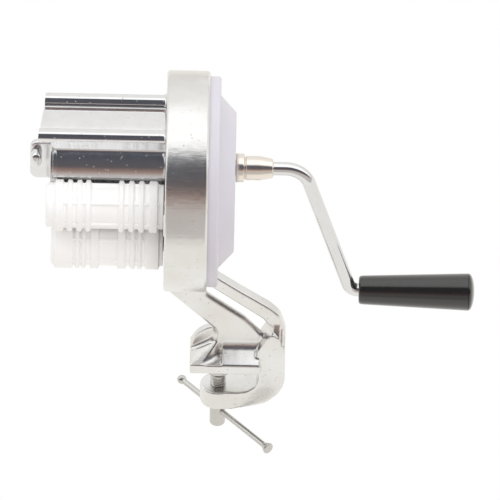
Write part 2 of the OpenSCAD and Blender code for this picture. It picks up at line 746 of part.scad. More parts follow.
module clamp_screw() {
    color([0.72, 0.72, 0.74]) place() difference() {
        union() {
            upright(screw_bot + 1, screw_shoulder, screw_d / 2);
            translate([jaw_x, 0, screw_bot]) cylinder(h = 1, r1 = screw_d / 2 - 1, r2 = screw_d / 2);
            upright(screw_shoulder - eps, screw_tip, 3);
        }
        tbar_line(-10, 20, tbar_d / 2 + run_fit, tbar_d / 2 + run_fit);
    }
}

module pressure_pad() {
    color([0.72, 0.72, 0.74]) place() difference() {
        union() {
            upright(pad_top - 2.6, pad_top, pad_r);
            translate([jaw_x, 0, pad_top - pad_thick]) cylinder(h = 3, r1 = 5, r2 = pad_r - 0.6);
        }
        upright(pad_top - pad_thick - 1, screw_tip + 0.1, 3 + run_fit);
    }
}

module t_bar() {
    color([0.78, 0.76, 0.72]) place() {
        tbar_line(-tbar_back, tbar_len, tbar_d / 2, tbar_d / 2);
        translate([jaw_x, 0, tbar_z]) rotate([0, 0, tbar_turn]) translate([-tbar_back + 1.5, 0, 0])
            sphere(r = 2.15);
        tbar_line(tbar_len - tbar_back - 4, 4, tbar_d / 2, 2.9);
    }
}

clamp_frame();
roller_hood();
hood_pin();
hood_screws();
gear_cover();
cover_screws();
front_bush();
rear_bush();
upper_bush();
lower_bush();
crank_shaft();
crank_gear();
crank_key();
gear_clip();
crank_collar();
crank_hub();
hub_pins();
crank_rod();
grip_washer();
grip_screw();
grip();
grip_cap();
upper_roller();
upper_shaft();
upper_pinion();
upper_key();
upper_clip();
upper_screw();
lower_roller();
lower_shaft();
lower_pinion();
drive_pinion();
lower_key();
lower_clip();
lower_screw();
clamp_screw();
pressure_pad();
t_bar();
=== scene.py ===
import json
import math

import bmesh
import bpy
from mathutils import Matrix, Vector


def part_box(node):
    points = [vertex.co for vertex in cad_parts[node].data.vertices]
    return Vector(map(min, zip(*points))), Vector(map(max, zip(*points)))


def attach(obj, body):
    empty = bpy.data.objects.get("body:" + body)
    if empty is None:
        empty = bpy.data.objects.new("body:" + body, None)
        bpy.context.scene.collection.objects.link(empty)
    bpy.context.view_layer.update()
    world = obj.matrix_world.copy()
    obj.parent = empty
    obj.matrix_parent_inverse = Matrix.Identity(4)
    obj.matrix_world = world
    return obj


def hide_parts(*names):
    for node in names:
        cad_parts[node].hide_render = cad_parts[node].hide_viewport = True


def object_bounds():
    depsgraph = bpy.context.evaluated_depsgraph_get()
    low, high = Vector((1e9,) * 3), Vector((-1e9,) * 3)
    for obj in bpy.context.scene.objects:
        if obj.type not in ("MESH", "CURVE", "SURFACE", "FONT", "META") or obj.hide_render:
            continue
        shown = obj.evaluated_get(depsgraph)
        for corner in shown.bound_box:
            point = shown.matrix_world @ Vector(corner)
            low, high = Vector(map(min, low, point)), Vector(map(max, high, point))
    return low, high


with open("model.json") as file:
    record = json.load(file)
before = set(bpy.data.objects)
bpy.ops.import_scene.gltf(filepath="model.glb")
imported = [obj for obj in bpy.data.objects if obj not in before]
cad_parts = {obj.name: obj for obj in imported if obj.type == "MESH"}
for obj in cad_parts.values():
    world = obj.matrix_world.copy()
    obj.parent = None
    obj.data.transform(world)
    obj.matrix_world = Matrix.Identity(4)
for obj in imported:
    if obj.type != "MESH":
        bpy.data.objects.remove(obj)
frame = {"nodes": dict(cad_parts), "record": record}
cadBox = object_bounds()
nodes = frame["nodes"]
mm = 0.001

coverLow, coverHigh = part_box("gear_cover")
ringAt = Vector((coverHigh.x - 24.8 * mm, (coverLow.y + coverHigh.y) / 2, (coverLow.z + coverHigh.z) / 2))
print("frame loaded")

camera = dict(
    lens=1500,
    elevation=39,     # degrees
    roll=1.17,
    look=(33.1, 0, -44.7),   # from the middle of the housing ring, mm
    width=258,        # mm taken in by the picture
)


def spot(x, y, z):   # mm from the middle of the housing ring
    return ringAt + Vector((x, y, z)) * mm


def makeCamera():
    cam = bpy.data.objects.new("camera", bpy.data.cameras.new("camera"))
    bpy.context.scene.collection.objects.link(cam)
    cam.data.lens = camera["lens"]
    cam.data.sensor_width = 36
    distance = camera["width"] * mm * camera["lens"] / 36
    up = math.radians(camera["elevation"])
    back = Vector((0, -math.cos(up), math.sin(up)))
    place = Matrix.Translation(spot(*camera["look"]) + back * distance)
    look = (-back).to_track_quat("-Z", "Y").to_matrix().to_4x4()
    cam.matrix_world = place @ look @ Matrix.Rotation(math.radians(camera["roll"]), 4, "Z")
    cam.data.clip_start = 0.1
    cam.data.clip_end = 50
    bpy.context.scene.camera = cam


makeCamera()
print("camera placed")


# a socket that adds and multiplies like a number
class Wire:
    def __init__(self, bench, socket):
        self.bench = bench
        self.socket = socket

    def maths(self, how, *others):
        return self.bench.node("ShaderNodeMath", {"operation": how}, [self] + list(others))

    def __add__(self, other):
        return self.maths("ADD", other)

    def __radd__(self, other):
        return self.maths("ADD", other)

    def __mul__(self, other):
        return self.maths("MULTIPLY", other)

    def __rmul__(self, other):
        return self.maths("MULTIPLY", other)

    def __sub__(self, other):
        return self.maths("SUBTRACT", other)

    def __rsub__(self, other):
        return self.bench.node("ShaderNodeMath", {"operation": "SUBTRACT"}, [other, self])

    def __pow__(self, other):
        return self.maths("POWER", other)


def rgba(value):
    if isinstance(value, (int, float)):
        return (value, value, value, 1)
    return tuple(value) if len(value) == 4 else tuple(value) + (1,)


def paint(r, g, b):   # a screen colour as a shader colour
    def straight(c):
        c = c / 255
        return c / 12.92 if c <= 0.04045 else ((c + 0.055) / 1.055) ** 2.4
    return (straight(r), straight(g), straight(b), 1)


# the nodes of one material
class Bench:
    def __init__(self, tree):
        self.tree = tree

    def node(self, kind, settings=None, inputs=None, out=0):
        added = self.tree.nodes.new(kind)
        for key, value in (settings or {}).items():
            if key == "stops":
                ramp = added.color_ramp
                while len(ramp.elements) > 1:
                    ramp.elements.remove(ramp.elements[-1])
                for i, (at, colour) in enumerate(value):
                    stop = ramp.elements[0] if i == 0 else ramp.elements.new(at)
                    stop.position = at
                    stop.color = rgba(colour)
            else:
                setattr(added, key, value)
        pairs = inputs.items() if isinstance(inputs, dict) else enumerate(inputs or [])
        for key, value in pairs:
            if isinstance(value, Wire):
                self.tree.links.new(value.socket, added.inputs[key])
            else:
                added.inputs[key].default_value = value
        return Wire(self, added.outputs[out]) if added.outputs else None

    def here(self, stretch=(1, 1, 1), turn=(0, 0, 0)):
        place = self.node("ShaderNodeTexCoord", {}, {}, "Object")
        return self.node("ShaderNodeMapping", {}, {"Vector": place, "Rotation": turn, "Scale": stretch})

    def grain(self, scale, detail=3.0, rough=0.5, stretch=(1, 1, 1), turn=(0, 0, 0)):
        return self.node("ShaderNodeTexNoise", {}, {"Vector": self.here(stretch, turn), "Scale": scale,
                                                    "Detail": detail, "Roughness": rough})

    def ramp(self, wire, *stops):
        return self.node("ShaderNodeValToRGB", {"stops": list(stops)}, [wire])

    def pits(self, scale, size, turn=(0, 0, 0)):   # 1 in small round dents, 0 between them
        place = self.here((1, 1, 1), turn)
        cells = self.node("ShaderNodeTexVoronoi", {}, {"Vector": place, "Scale": scale}, "Distance")
        return self.ramp(cells, (0.0, 1.0), (size * 0.6, 0.8), (size, 0.0))

    def tones(self, wire, dark, light):
        return self.node("ShaderNodeMix", {"data_type": "RGBA"}, {"Factor": wire, 6: dark, 7: light}, 2)

    def bump(self, height, strength, distance, under=None):
        inputs = {"Height": height, "Strength": strength, "Distance": distance}
        if under:
            inputs["Normal"] = under
        return self.node("ShaderNodeBump", {}, inputs)


room = dict(
    floorDrop=6,      # mm below the object
    floorHalf=3.0,    # m
    floorGlow=(0.97, 0.95, 0.91),     # what the floor sends back into metal
    floorFar=(0.60, 0.57, 0.55),      # and from further towards the operator
    glow=1.3,         # the white overhead, against the white floor
    fill=1.5,         # soft sun that no gloss sees
    bands=[           # angle up from the operator's horizon, over the top to the far one; then colour
        (0, (0.62, 0.58, 0.56)), (12, (0.60, 0.55, 0.53)), (17, (0.44, 0.34, 0.30)), (23, (0.31, 0.21, 0.18)),
        (31, (0.125, 0.115, 0.12)), (44, (0.11, 0.11, 0.125)), (64, (0.08, 0.085, 0.105)),
        (69, (1.0, 1.0, 0.99)), (76, (1.3, 1.3, 1.3)), (112, (1.3, 1.3, 1.29)),
        (128, (0.98, 0.97, 0.95)), (180, (0.90, 0.89, 0.87))],
)


def makeFloor():
    bpy.ops.object.select_all(action="DESELECT")
    bpy.ops.mesh.primitive_plane_add(size=2 * room["floorHalf"],
                                     location=(0, 0, cadBox[0].z - room["floorDrop"] * mm))
    floor = bpy.context.object
    floor.name = "floor"
    mat = bpy.data.materials.new("floorWhite")
    mat.use_nodes = True
    mat.node_tree.nodes.clear()
    bench = Bench(mat.node_tree)
    plain = bench.node("ShaderNodeEmission", {}, {"Color": (1, 1, 1, 1), "Strength": 1.0})
    here = bench.node("ShaderNodeTexCoord", {}, {}, "Object")
    place = bench.node("ShaderNodeSeparateXYZ", {}, [here]).socket.node
    away = bench.ramp(Wire(bench, place.outputs["Y"]) * -1.0, (0.36, 0.0), (0.46, 1.0))
    tone = bench.tones(away, rgba(room["floorGlow"]), rgba(room["floorFar"]))
    warm = bench.node("ShaderNodeEmission", {}, {"Color": tone, "Strength": 1.0})
    seen = bench.node("ShaderNodeLightPath", {}, {}, "Is Camera Ray")
    both = bench.node("ShaderNodeMixShader", {}, [seen, warm, plain])
    bench.node("ShaderNodeOutputMaterial", {}, {"Surface": both})
    floor.data.materials.append(mat)


def makeSky():
    world = bpy.data.worlds.new("studio")
    bpy.context.scene.world = world
    world.use_nodes = True
    world.node_tree.nodes.clear()
    bench = Bench(world.node_tree)
    towards = bench.node("ShaderNodeTexCoord", {}, {}, "Generated")
    parts = bench.node("ShaderNodeSeparateXYZ", {}, [towards]).socket.node
    y = Wire(bench, parts.outputs["Y"])
    z = Wire(bench, parts.outputs["Z"])
    turn = bench.node("ShaderNodeMath", {"operation": "ARCTAN2"}, [z, y * -1.0])
    stops = [(angle / 180, [c / room["glow"] for c in colour]) for angle, colour in room["bands"]]
    bands = bench.node("ShaderNodeValToRGB", {"stops": stops}, [turn * (1 / math.pi)])
    light = bench.node("ShaderNodeBackground", {}, {"Color": bands, "Strength": room["glow"]})
    bench.node("ShaderNodeOutputWorld", {}, {"Surface": light})


def makeFill():
    lamp = bpy.data.lights.new("fill", "SUN")
    lamp.energy = room["fill"]
    lamp.angle = math.radians(100)
    fill = bpy.data.objects.new("fill", lamp)
    bpy.context.scene.collection.objects.link(fill)
    fill.rotation_euler = Vector((0.15, -1, 1.1)).to_track_quat("Z", "Y").to_euler()
    fill.visible_glossy = False


makeFloor()
makeSky()
makeFill()
bpy.context.scene.view_settings.view_transform = "Standard"
print("floor and light made")


def material(name, build):
    mat = bpy.data.materials.new(name)
    mat.use_nodes = True
    mat.node_tree.nodes.clear()
    bench = Bench(mat.node_tree)
    bench.node("ShaderNodeOutputMaterial", {}, {"Surface": build(bench)})
    return mat


# sand-cast aluminium, ground and tumbled: soft lumps, a faint brown bloom, scratches, a few pits
def castMetal(light, dark, rough, lumps=0.45, scratch=1.1):
    def build(bench):
        bloom = bench.grain(45, 3.0, 0.5)
        fine = bench.grain(1900, 3.0, 0.6)
        lines = bench.grain(520, 3.0, 0.6, stretch=(0.10, 1, 1), turn=(0.4, 0.5, 0.3))
        across = bench.grain(620, 2.0, 0.6, stretch=(1, 1, 0.12), turn=(0.2, -0.4, 0.9))
        few = bench.ramp(bench.grain(300, 1.0), (0.55, 0.0), (0.60, 1.0))
        holes = bench.pits(520, 0.20) * few
        colour = bench.tones(bench.ramp(bloom, (0.30, 0.0), (0.70, 1.0)), dark, light)
        # the pits are coloured a darker grey (0.45, 0.43, 0.41) on top of their dent
        pitsDarkened = bench.tones(holes, colour, (0.45, 0.43, 0.41, 1))
        soft = bench.bump(bench.grain(170, 1.5), lumps, 0.0003)
        worn = bench.bump(lines, scratch, 0.00005, soft)
        crossed = bench.bump(across, scratch * 0.6, 0.00004, worn)
        pitted = bench.bump(1 - holes, 0.6, 0.00012, crossed)
        gritty = bench.bump(fine, 0.6, 0.00006, pitted)
        return bench.node("ShaderNodeBsdfPrincipled", {}, {
            "Base Color": pitsDarkened, "Metallic": 1.0,
            "Roughness": fine * 0.14 + (lines * 0.08 + (rough - 0.11)), "Normal": gritty})
    return build


# buffed metal: bright, a little wavy, with pinholes that catch the light
def buffedMetal(tint, rough, waves=0.12, holes=0.5, haze=0.08, cells=620.0, share=0.52):
    def build(bench):
        cloud = bench.grain(150, 3.0, 0.55)
        few = bench.ramp(bench.grain(260, 2.0), (share, 0.0), (share + 0.05, 1.0))
        speck = bench.pits(cells, 0.17) * few
        hair = bench.grain(900, 2.0, 0.6, stretch=(0.08, 1, 1))
        rolling = bench.bump(bench.grain(90, 1.5), waves, 0.0004)
        brushed = bench.bump(hair, 0.12, 0.00002, rolling)
        dotted = bench.bump(speck, holes, 0.00018, brushed)
        dark = tuple(c * 0.88 for c in tint[:3]) + (1,)
        return bench.node("ShaderNodeBsdfPrincipled", {}, {
            "Base Color": bench.tones(cloud, dark, tint), "Metallic": 1.0,
            "Roughness": cloud * haze + (hair * 0.06 + (rough - haze / 2 - 0.03)), "Normal": dotted})
    return build


# injection moulded plastic: faint orange peel and a little mottling
def moulded(tint, shade, rough, peel=0.12, scale=1400.0, shine=0.0):
    def build(bench):
        skin = bench.grain(scale, 2.0, 0.5)
        cloud = bench.grain(70, 3.0, 0.5)
        relief = bench.bump(skin, peel, 0.00003)
        return bench.node("ShaderNodeBsdfPrincipled", {}, {
            "Base Color": bench.tones(cloud, shade, tint), "IOR": 1.46,
            "Coat Weight": shine, "Coat Roughness": 0.12,
            "Roughness": skin * 0.1 + (rough - 0.05), "Normal": relief})
    return build


finishes = dict(
    cast_aluminium=castMetal((0.84, 0.84, 0.84, 1), (0.76, 0.745, 0.72, 1), 0.24),
    bright_aluminium=buffedMetal((0.86, 0.86, 0.87, 1), 0.12, 0.12, 0.9),
    lilac_plastic=moulded(paint(216, 213, 222), paint(210, 207, 216), 0.38),
    white_plastic=moulded(paint(254, 254, 253), paint(250, 250, 250), 0.5),
    black_plastic=moulded(paint(23, 22, 21), paint(28, 26, 25), 0.22, 0.05, shine=1.0),
    nickel=buffedMetal((0.92, 0.86, 0.79, 1), 0.20, 0.05, 0.1),
    chrome=buffedMetal((0.82, 0.82, 0.83, 1), 0.07, 0.05, 0.05, 0.04),
    zinc_steel=buffedMetal((0.64, 0.63, 0.61, 1), 0.27, 0.06, 0.2, 0.12),
    gear_steel=buffedMetal((0.55, 0.52, 0.45, 1), 0.33),
    bronze=buffedMetal((0.60, 0.42, 0.20, 1), 0.33),
)
made = {name: material(name, build) for name, build in finishes.items()}
slotOf = {part["node"]: part["material_slot"] for part in frame["record"]["subparts"]}
bodyOf = {node: body for body, held in frame["record"]["behaviour"]["bodies"].items() for node in held}


def dress(piece, slot):
    piece.data.materials.clear()
    piece.data.materials.append(made[slot])


for name, slot in slotOf.items():
    dress(nodes[name], slot)
print("finishes made")


def active(piece):
    bpy.ops.object.select_all(action="DESELECT")
    piece.select_set(True)
    bpy.context.view_layer.objects.active = piece


def settle(piece):   # the place and turn go into the mesh
    active(piece)
    bpy.ops.object.transform_apply(location=True, rotation=True, scale=True)


def modified(piece, kind, **settings):
    mod = piece.modifiers.new(kind.lower(), kind)
    for key, value in settings.items():
        setattr(mod, key, value)
    active(piece)
    bpy.ops.object.modifier_apply(modifier=mod.name)
    return piece


def cut(piece, tool, how="DIFFERENCE"):
    modified(piece, "BOOLEAN", operation=how, solver="EXACT", object=tool)
    bpy.data.objects.remove(tool)
    return piece


def bevelled(piece, width, segments=3, angle=30):
    return modified(piece, "BEVEL", width=width * mm, segments=segments, limit_method="ANGLE",
                    angle_limit=math.radians(angle), harden_normals=False)


def joined(pieces):
    bpy.ops.object.select_all(action="DESELECT")
    for piece in pieces:
        piece.select_set(True)
    bpy.context.view_layer.objects.active = pieces[0]
    bpy.ops.object.join()
    return bpy.context.object


def handedOn(piece, name, stands, body=None, slot=None, angle=32):
    active(piece)
    bpy.ops.object.shade_smooth_by_angle(angle=math.radians(angle))
    piece.name = name
    piece.data.name = name
    dress(piece, slot or slotOf[stands])
    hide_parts(stands)
    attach(piece, body or bodyOf[stands])
    return piece


# corners given as (a, b, radius) become arcs
def softened(points, closed=False, steps=5):
    out = []
    for i, point in enumerate(points):
        here = Vector(point[:2])
        if len(point) < 3 or (not closed and i in (0, len(points) - 1)):
            out.append(here)
            continue
        before = Vector(points[i - 1][:2]) - here
        after = Vector(points[(i + 1) % len(points)][:2]) - here
        half = before.angle(after) / 2
        reach = min(point[2] / math.tan(half), 0.49 * before.length, 0.49 * after.length)
        radius = reach * math.tan(half)
        middle = here + (before.normalized() + after.normalized()).normalized() * radius / math.sin(half)
        start = here + before.normalized() * reach - middle
        end = here + after.normalized() * reach - middle
        wide = start.angle(end)
        for k in range(steps + 1):
            t = k / steps
            swept = start * math.sin((1 - t) * wide) + end * math.sin(t * wide)
            out.append(middle + swept / math.sin(wide))
    return out


def arc(middle, radius, start, end, steps):
    turn = [math.radians(start + (end - start) * k / steps) for k in range(steps + 1)]
    return [(middle[0] + radius * math.cos(a), middle[1] + radius * math.sin(a)) for a in turn]


turnedTo = dict(x=(0, math.pi / 2, 0), z=(0, 0, 0), y=(-math.pi / 2, 0, 0), left=(0, -math.pi / 2, 0))


# a turned shape: profile of (along, radius), from a circle that is extruded and resized
def lathe(profile, at, heading="x", sides=128, ring=False):
    profile = [(max(p[0], -1e9), max(p[1], 0.02)) for p in profile]
    bpy.ops.object.select_all(action="DESELECT")
    bpy.ops.mesh.primitive_circle_add(vertices=sides, radius=profile[0][1] * mm)
    piece = bpy.context.object
    bpy.ops.object.mode_set(mode="EDIT")
    bpy.ops.mesh.select_all(action="SELECT")
    bpy.ops.transform.translate(value=(0, 0, profile[0][0] * mm))
    for (a, r), (b, s) in zip(profile, profile[1:]):
        bpy.ops.mesh.extrude_edges_move(TRANSFORM_OT_translate={"value": (0, 0, (b - a) * mm)})
        if abs(s - r) > 1e-6:
            bpy.ops.transform.resize(value=(s / r, s / r, 1), center_override=(0, 0, b * mm))
    if ring:
        bpy.ops.mesh.select_all(action="DESELECT")
        bpy.ops.mesh.select_non_manifold()
        bpy.ops.mesh.bridge_edge_loops()
    else:
        bpy.ops.mesh.select_all(action="SELECT")
        bpy.ops.mesh.fill_holes(sides=0)
    bpy.ops.mesh.select_all(action="SELECT")
    bpy.ops.mesh.normals_make_consistent(inside=False)
    bpy.ops.object.mode_set(mode="OBJECT")
    piece.rotation_euler = turnedTo[heading] if isinstance(heading, str) else heading
    piece.location = at
    settle(piece)
    return piece


# an outline drawn point by point in one plane, filled, then extruded across it
def slab(outline, low, high, plane="XZ"):
    def laid(p, across):
        a, b = p[0], p[1]
        return spot(*{"XZ": (a, across, b), "YZ": (across, a, b), "XY": (a, b, across)}[plane])
    spots = [laid(p, low) for p in outline]
    bpy.ops.object.select_all(action="DESELECT")
    bpy.ops.mesh.primitive_plane_add(size=mm)
    piece = bpy.context.object
    bpy.ops.object.mode_set(mode="EDIT")
    bpy.ops.mesh.select_all(action="SELECT")
    bpy.ops.mesh.merge(type="CENTER")
    bpy.ops.transform.translate(value=spots[0])
    for a, b in zip(spots, spots[1:]):
        bpy.ops.mesh.extrude_vertices_move(TRANSFORM_OT_translate={"value": b - a})
    bpy.ops.mesh.select_all(action="DESELECT")
    drawn = bmesh.from_edit_mesh(piece.data)
    drawn.verts.ensure_lookup_table()
    drawn.verts[0].select = True
    drawn.verts[-1].select = True
    bpy.ops.mesh.edge_face_add()
    bpy.ops.mesh.select_all(action="SELECT")
    bpy.ops.mesh.edge_face_add()
    bpy.ops.mesh.extrude_region_move(TRANSFORM_OT_translate={"value": laid(outline[0], high) - spots[0]})
    bpy.ops.mesh.select_all(action="SELECT")
    bpy.ops.mesh.normals_make_consistent(inside=False)
    bpy.ops.object.mode_set(mode="OBJECT")
    return piece


def drill(axis, x0, x1, radius, sides=64, heading="x"):
    return lathe([(0, radius), (x1 - x0, radius)], spot(x0, *axis), heading, sides)


def axisOf(node):   # in mm from the ring's middle, across the shafts
    low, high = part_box(node)
    middle = ((low + high) / 2 - ringAt) / mm
    return (middle.y, middle.z)


crankAxis = axisOf("crank_collar")
upperAxis = axisOf("upper_roller")
lowerAxis = axisOf("lower_roller")
gripAxis = axisOf("grip")

housing = dict(
    radius=57, left=-11.1, right=11.1, wall=4.5, back=4,
    rim=1.2,          # chamfer towards the cover
    bossRadius=9, bossLong=4.5, bushRadius=6.52,
    posts=[(44.0 * math.cos(math.radians(a)), 44.0 * math.sin(math.radians(a))) for a in (45, 135, 315)],
)
screws = dict(headRadius=3.6, headHigh=2.2, shaft=2.0, length=13.8, socket=1.64)   # sunk flush in the housing


def makeHousing():
    h = housing
    inner = h["radius"] - h["wall"]
    floor = h["left"] + h["back"]
    shell = lathe(softened([
        (h["left"], 2), (h["left"], h["radius"], 1.6), (h["right"] - h["rim"], h["radius"], 0.5),
        (h["right"], h["radius"] - h["rim"], 0.4), (h["right"], inner, 0.4), (floor, inner, 2.0),
        (floor, 2)]), spot(0, 0, 0), sides=192)
    for axis in (upperAxis, lowerAxis):
        boss = lathe(softened([(-1, 2), (-1, h["bossRadius"]), (h["bossLong"], h["bossRadius"], 0.8),
                               (h["bossLong"], 2)]), spot(floor, *axis), sides=64)
        cut(shell, boss, "UNION")
        cut(shell, drill(axis, h["left"] - 1, floor + h["bossLong"] + 1, h["bushRadius"]))
    for post in h["posts"]:
        cut(shell, drill(post, h["left"] - 1, floor + 1, 2.2, 32))
        sunk = h["left"] + screws["headHigh"]
        cut(shell, drill(post, h["left"] - 1, sunk, screws["headRadius"] + 0.02, 48))
    handedOn(shell, "housing", "clamp_frame")


makeHousing()
print("housing made")

casting = dict(
    drop=-57, jaw=-117.8, tip=3.1, thick=5.5, wide=25.4, screwX=17.9,
    bossTop=-133.5, bossBottom=-144.6, bossRadius=9.3,
    legHalf=2.4, railHalf=3.65, spineHalf=8.5, fillet=6,
    slope=30,         # degrees, the jaw's top on the operator's side
    voxel=0.5, melt=5,
)


def makeCasting():
    c = casting
    drop, jaw, tip, top = c["drop"], c["jaw"], c["tip"], c["jaw"] + c["thick"]
    bossTop, bossBottom = c["bossTop"], c["bossBottom"]
    leg = slab(softened([
        (-10, drop + 3), (-10, drop - 14.2, 2), (19.6, jaw + 16.8, 6), (tip, jaw + 7.1), (tip, jaw + 1),
        (41, jaw + 1), (51.4, jaw + 6), (47, jaw + 20), (45.6, jaw + 22.3), (41.5, jaw + 17.6, 4),
        (31, jaw + 29.6, 22), (10.9, drop - 15.7, 4), (10.9, drop + 3)], True), -c["legHalf"], c["legHalf"])
    rail = slab(softened([
        (5, drop + 2), (11.1, drop + 0.3), (17.3, drop - 4.4, 20), (28.3, drop - 12.6, 20),
        (36.1, drop - 18, 20),
        (44, drop - 23.6, 15), (49.2, drop - 28.7, 8), (52.4, jaw + 21.8, 8), (52.4, jaw + 10),
        (46, jaw + 17), (46, jaw + 24, 2), (43.2, jaw + 26, 3), (40.6, drop - 31, 5),
        (33.3, drop - 25.4, 20), (25.4, drop - 19.4, 20), (9, drop - 7)], True),
        -c["railHalf"], c["railHalf"])
    spine = slab(softened([
        (45.5, jaw + 24, 2), (48.5, jaw + 21, 2), (52.4, jaw + 10, 8), (52.4, bossTop + 8.5, 12),
        (51.3, bossTop + 4, 8),
        (48.7, bossTop - 0.9, 8), (43, bossTop - 6.3, 8), (34.7, bossBottom + 2.2, 12),
        (25.5, bossBottom + 0.2), (25.5, bossBottom), (c["screwX"], bossBottom), (c["screwX"], bossTop),
        (28, bossTop, 3), (33, bossTop + 0.8, 6), (37.6, bossTop + 4.5, 6), (39, jaw - 6, 6),
        (37.5, jaw - 2, 2), (37.2, jaw), (37.2, top), (37.6, jaw + 11, 8), (42.5, jaw + 20, 6)], True),
        -c["spineHalf"], c["spineHalf"])
    bench = slab([(tip, -c["wide"] / 2), (39.7, -c["wide"] / 2), (39.7, c["wide"] / 2), (tip, c["wide"] / 2)],
                 jaw, top, "XY")
    boss = lathe(softened([(bossBottom, 2), (bossBottom, c["bossRadius"], 1.2),
                           (bossTop, c["bossRadius"], 0.8), (bossTop, 2)]), spot(c["screwX"], 0, 0), "z", 96)
    bevelled(leg, 1.7, 1)
    bevelled(rail, 1.1, 2)
    bevelled(spine, 1.8, 4)
    bevelled(bench, 0.7, 2)
    f, slope = c["fillet"], math.radians(c["slope"])
    foot = 0.4 - c["wide"] / 2
    turnY = -2.3 - f * (1 - math.sin(slope))
    turnZ = top + 0.3 + (turnY - foot) * math.tan(slope)
    middle = turnZ + f * math.cos(slope)
    front = slab([(0, top - 1), (foot, top - 1), (foot, top + 0.3)]
                 + arc((-2.3 - f, middle), f, 270 + c["slope"], 360, 8) + [(0, middle)], 19.8, 39, "YZ")
    back = slab([(0, top - 1), (2.3 + f, top - 1)] + arc((2.3 + f, top + f), f, 270, 180, 8)
                + [(0, top + f)], 19.8, 39, "YZ")
    lobe = slab(arc((c["screwX"], top + 1.2), 14.8, 0, 180, 36)
                + [(tip, top - 1), (c["screwX"] + 14.8, top - 1)], 0.2, 4.6)
    half, thin = c["spineHalf"], c["railHalf"]
    shoulders = [slab([(-half, jaw + 8), (half, jaw + 8), (half, jaw + side), (thin, jaw + crest),
                       (-thin, jaw + crest), (-half, jaw + side)], near, far, "YZ")
                 for near, far, side, crest in ((46, 49.4, 19, 27), (49, 51, 15, 24), (50.6, 52.3, 10, 20))]
    parts = [leg, rail, spine, bench, boss, lobe, front, back, makeGusset()] + shoulders
    frameCast = joined(parts)
    modified(frameCast, "REMESH", mode="VOXEL", voxel_size=c["voxel"] * mm)
    modified(frameCast, "SMOOTH", factor=0.5, iterations=c["melt"])
    print("casting triangles", 2 * len(frameCast.data.polygons))
    cut(frameCast, lathe([(0, 4.05), (40, 4.05)], spot(c["screwX"], 0, bossBottom - 5), "z", 64))
    handedOn(frameCast, "clamp_casting", "clamp_frame", angle=50)


# ramp up to the arm from the jaw's tip, then a hollow scoop down to the jaw's flat top
gusset = dict(tip=3.1, front=-12.7, back=0.5, end=20.8, ridgeFront=3.4, ridgeBack=14.6, high=9.2, cells=44)


def gussetHeight(x, y):
    g = gusset
    t = max(0, min(1, (y - g["front"]) / (-2.4 - g["front"])))
    ridge = g["tip"] + g["ridgeFront"] + (g["ridgeBack"] - g["ridgeFront"]) * t ** 0.85
    peak = 0.15 + (g["high"] - 0.15) * t ** 1.25
    low = 0.15 + 1.3 * t
    if x <= ridge:
        return low + (peak - low) * (max(0, x - g["tip"]) / (ridge - g["tip"])) ** 1.15
    u = min(1, (x - ridge) / (g["end"] + 0.4 - ridge))
    return peak * (1 - u) ** 2.4 - 0.35 * u


def makeGusset():
    g = gusset
    top = casting["jaw"] + casting["thick"]
    bpy.ops.object.select_all(action="DESELECT")
    bpy.ops.mesh.primitive_grid_add(x_subdivisions=g["cells"], y_subdivisions=g["cells"], size=2 * mm)
    piece = bpy.context.object
    bpy.ops.object.mode_set(mode="EDIT")
    sheet = bmesh.from_edit_mesh(piece.data)
    for v in sheet.verts:
        # along the arm, and away from the operator
        s, t = (max(0, min(1, c / mm / 2 + 0.5)) for c in v.co[:2])
        x = g["tip"] + (g["end"] - g["tip"]) * s
        y = g["front"] + (g["back"] - g["front"]) * t
        v.co = spot(x, y, top + gussetHeight(x, y))
    bmesh.update_edit_mesh(piece.data)
    bpy.ops.mesh.select_all(action="SELECT")
    bpy.ops.mesh.extrude_region_move(TRANSFORM_OT_translate={"value": (0, 0, -1.2 * mm)})
    sheet = bmesh.from_edit_mesh(piece.data)
    for v in sheet.verts:
        if v.select:
            v.co.z = spot(0, 0, top - 1.5).z
    bmesh.update_edit_mesh(piece.data)
    bpy.ops.mesh.select_all(action="SELECT")
    bpy.ops.mesh.normals_make_consistent(inside=False)
    bpy.ops.object.mode_set(mode="OBJECT")
    return piece


makeCasting()
print("clamp casting made")

hood = dict(
    middle=(9, 3), inner=22, wall=3, left=-70.4, right=-11.1,
    top=35.7, panel=31.2, crown=1.5, panelThick=3, neck=11.4, bead=18.1, beadUnder=31.7, slope=2.3,
    nearEnd=-76.9, farEnd=-73.4, flare=2.2, fillet=2.2, endRadius=26.3,
    lugLeft=-81.0, lugY=(5, 9), lugZ=(-4, 19.4),
)


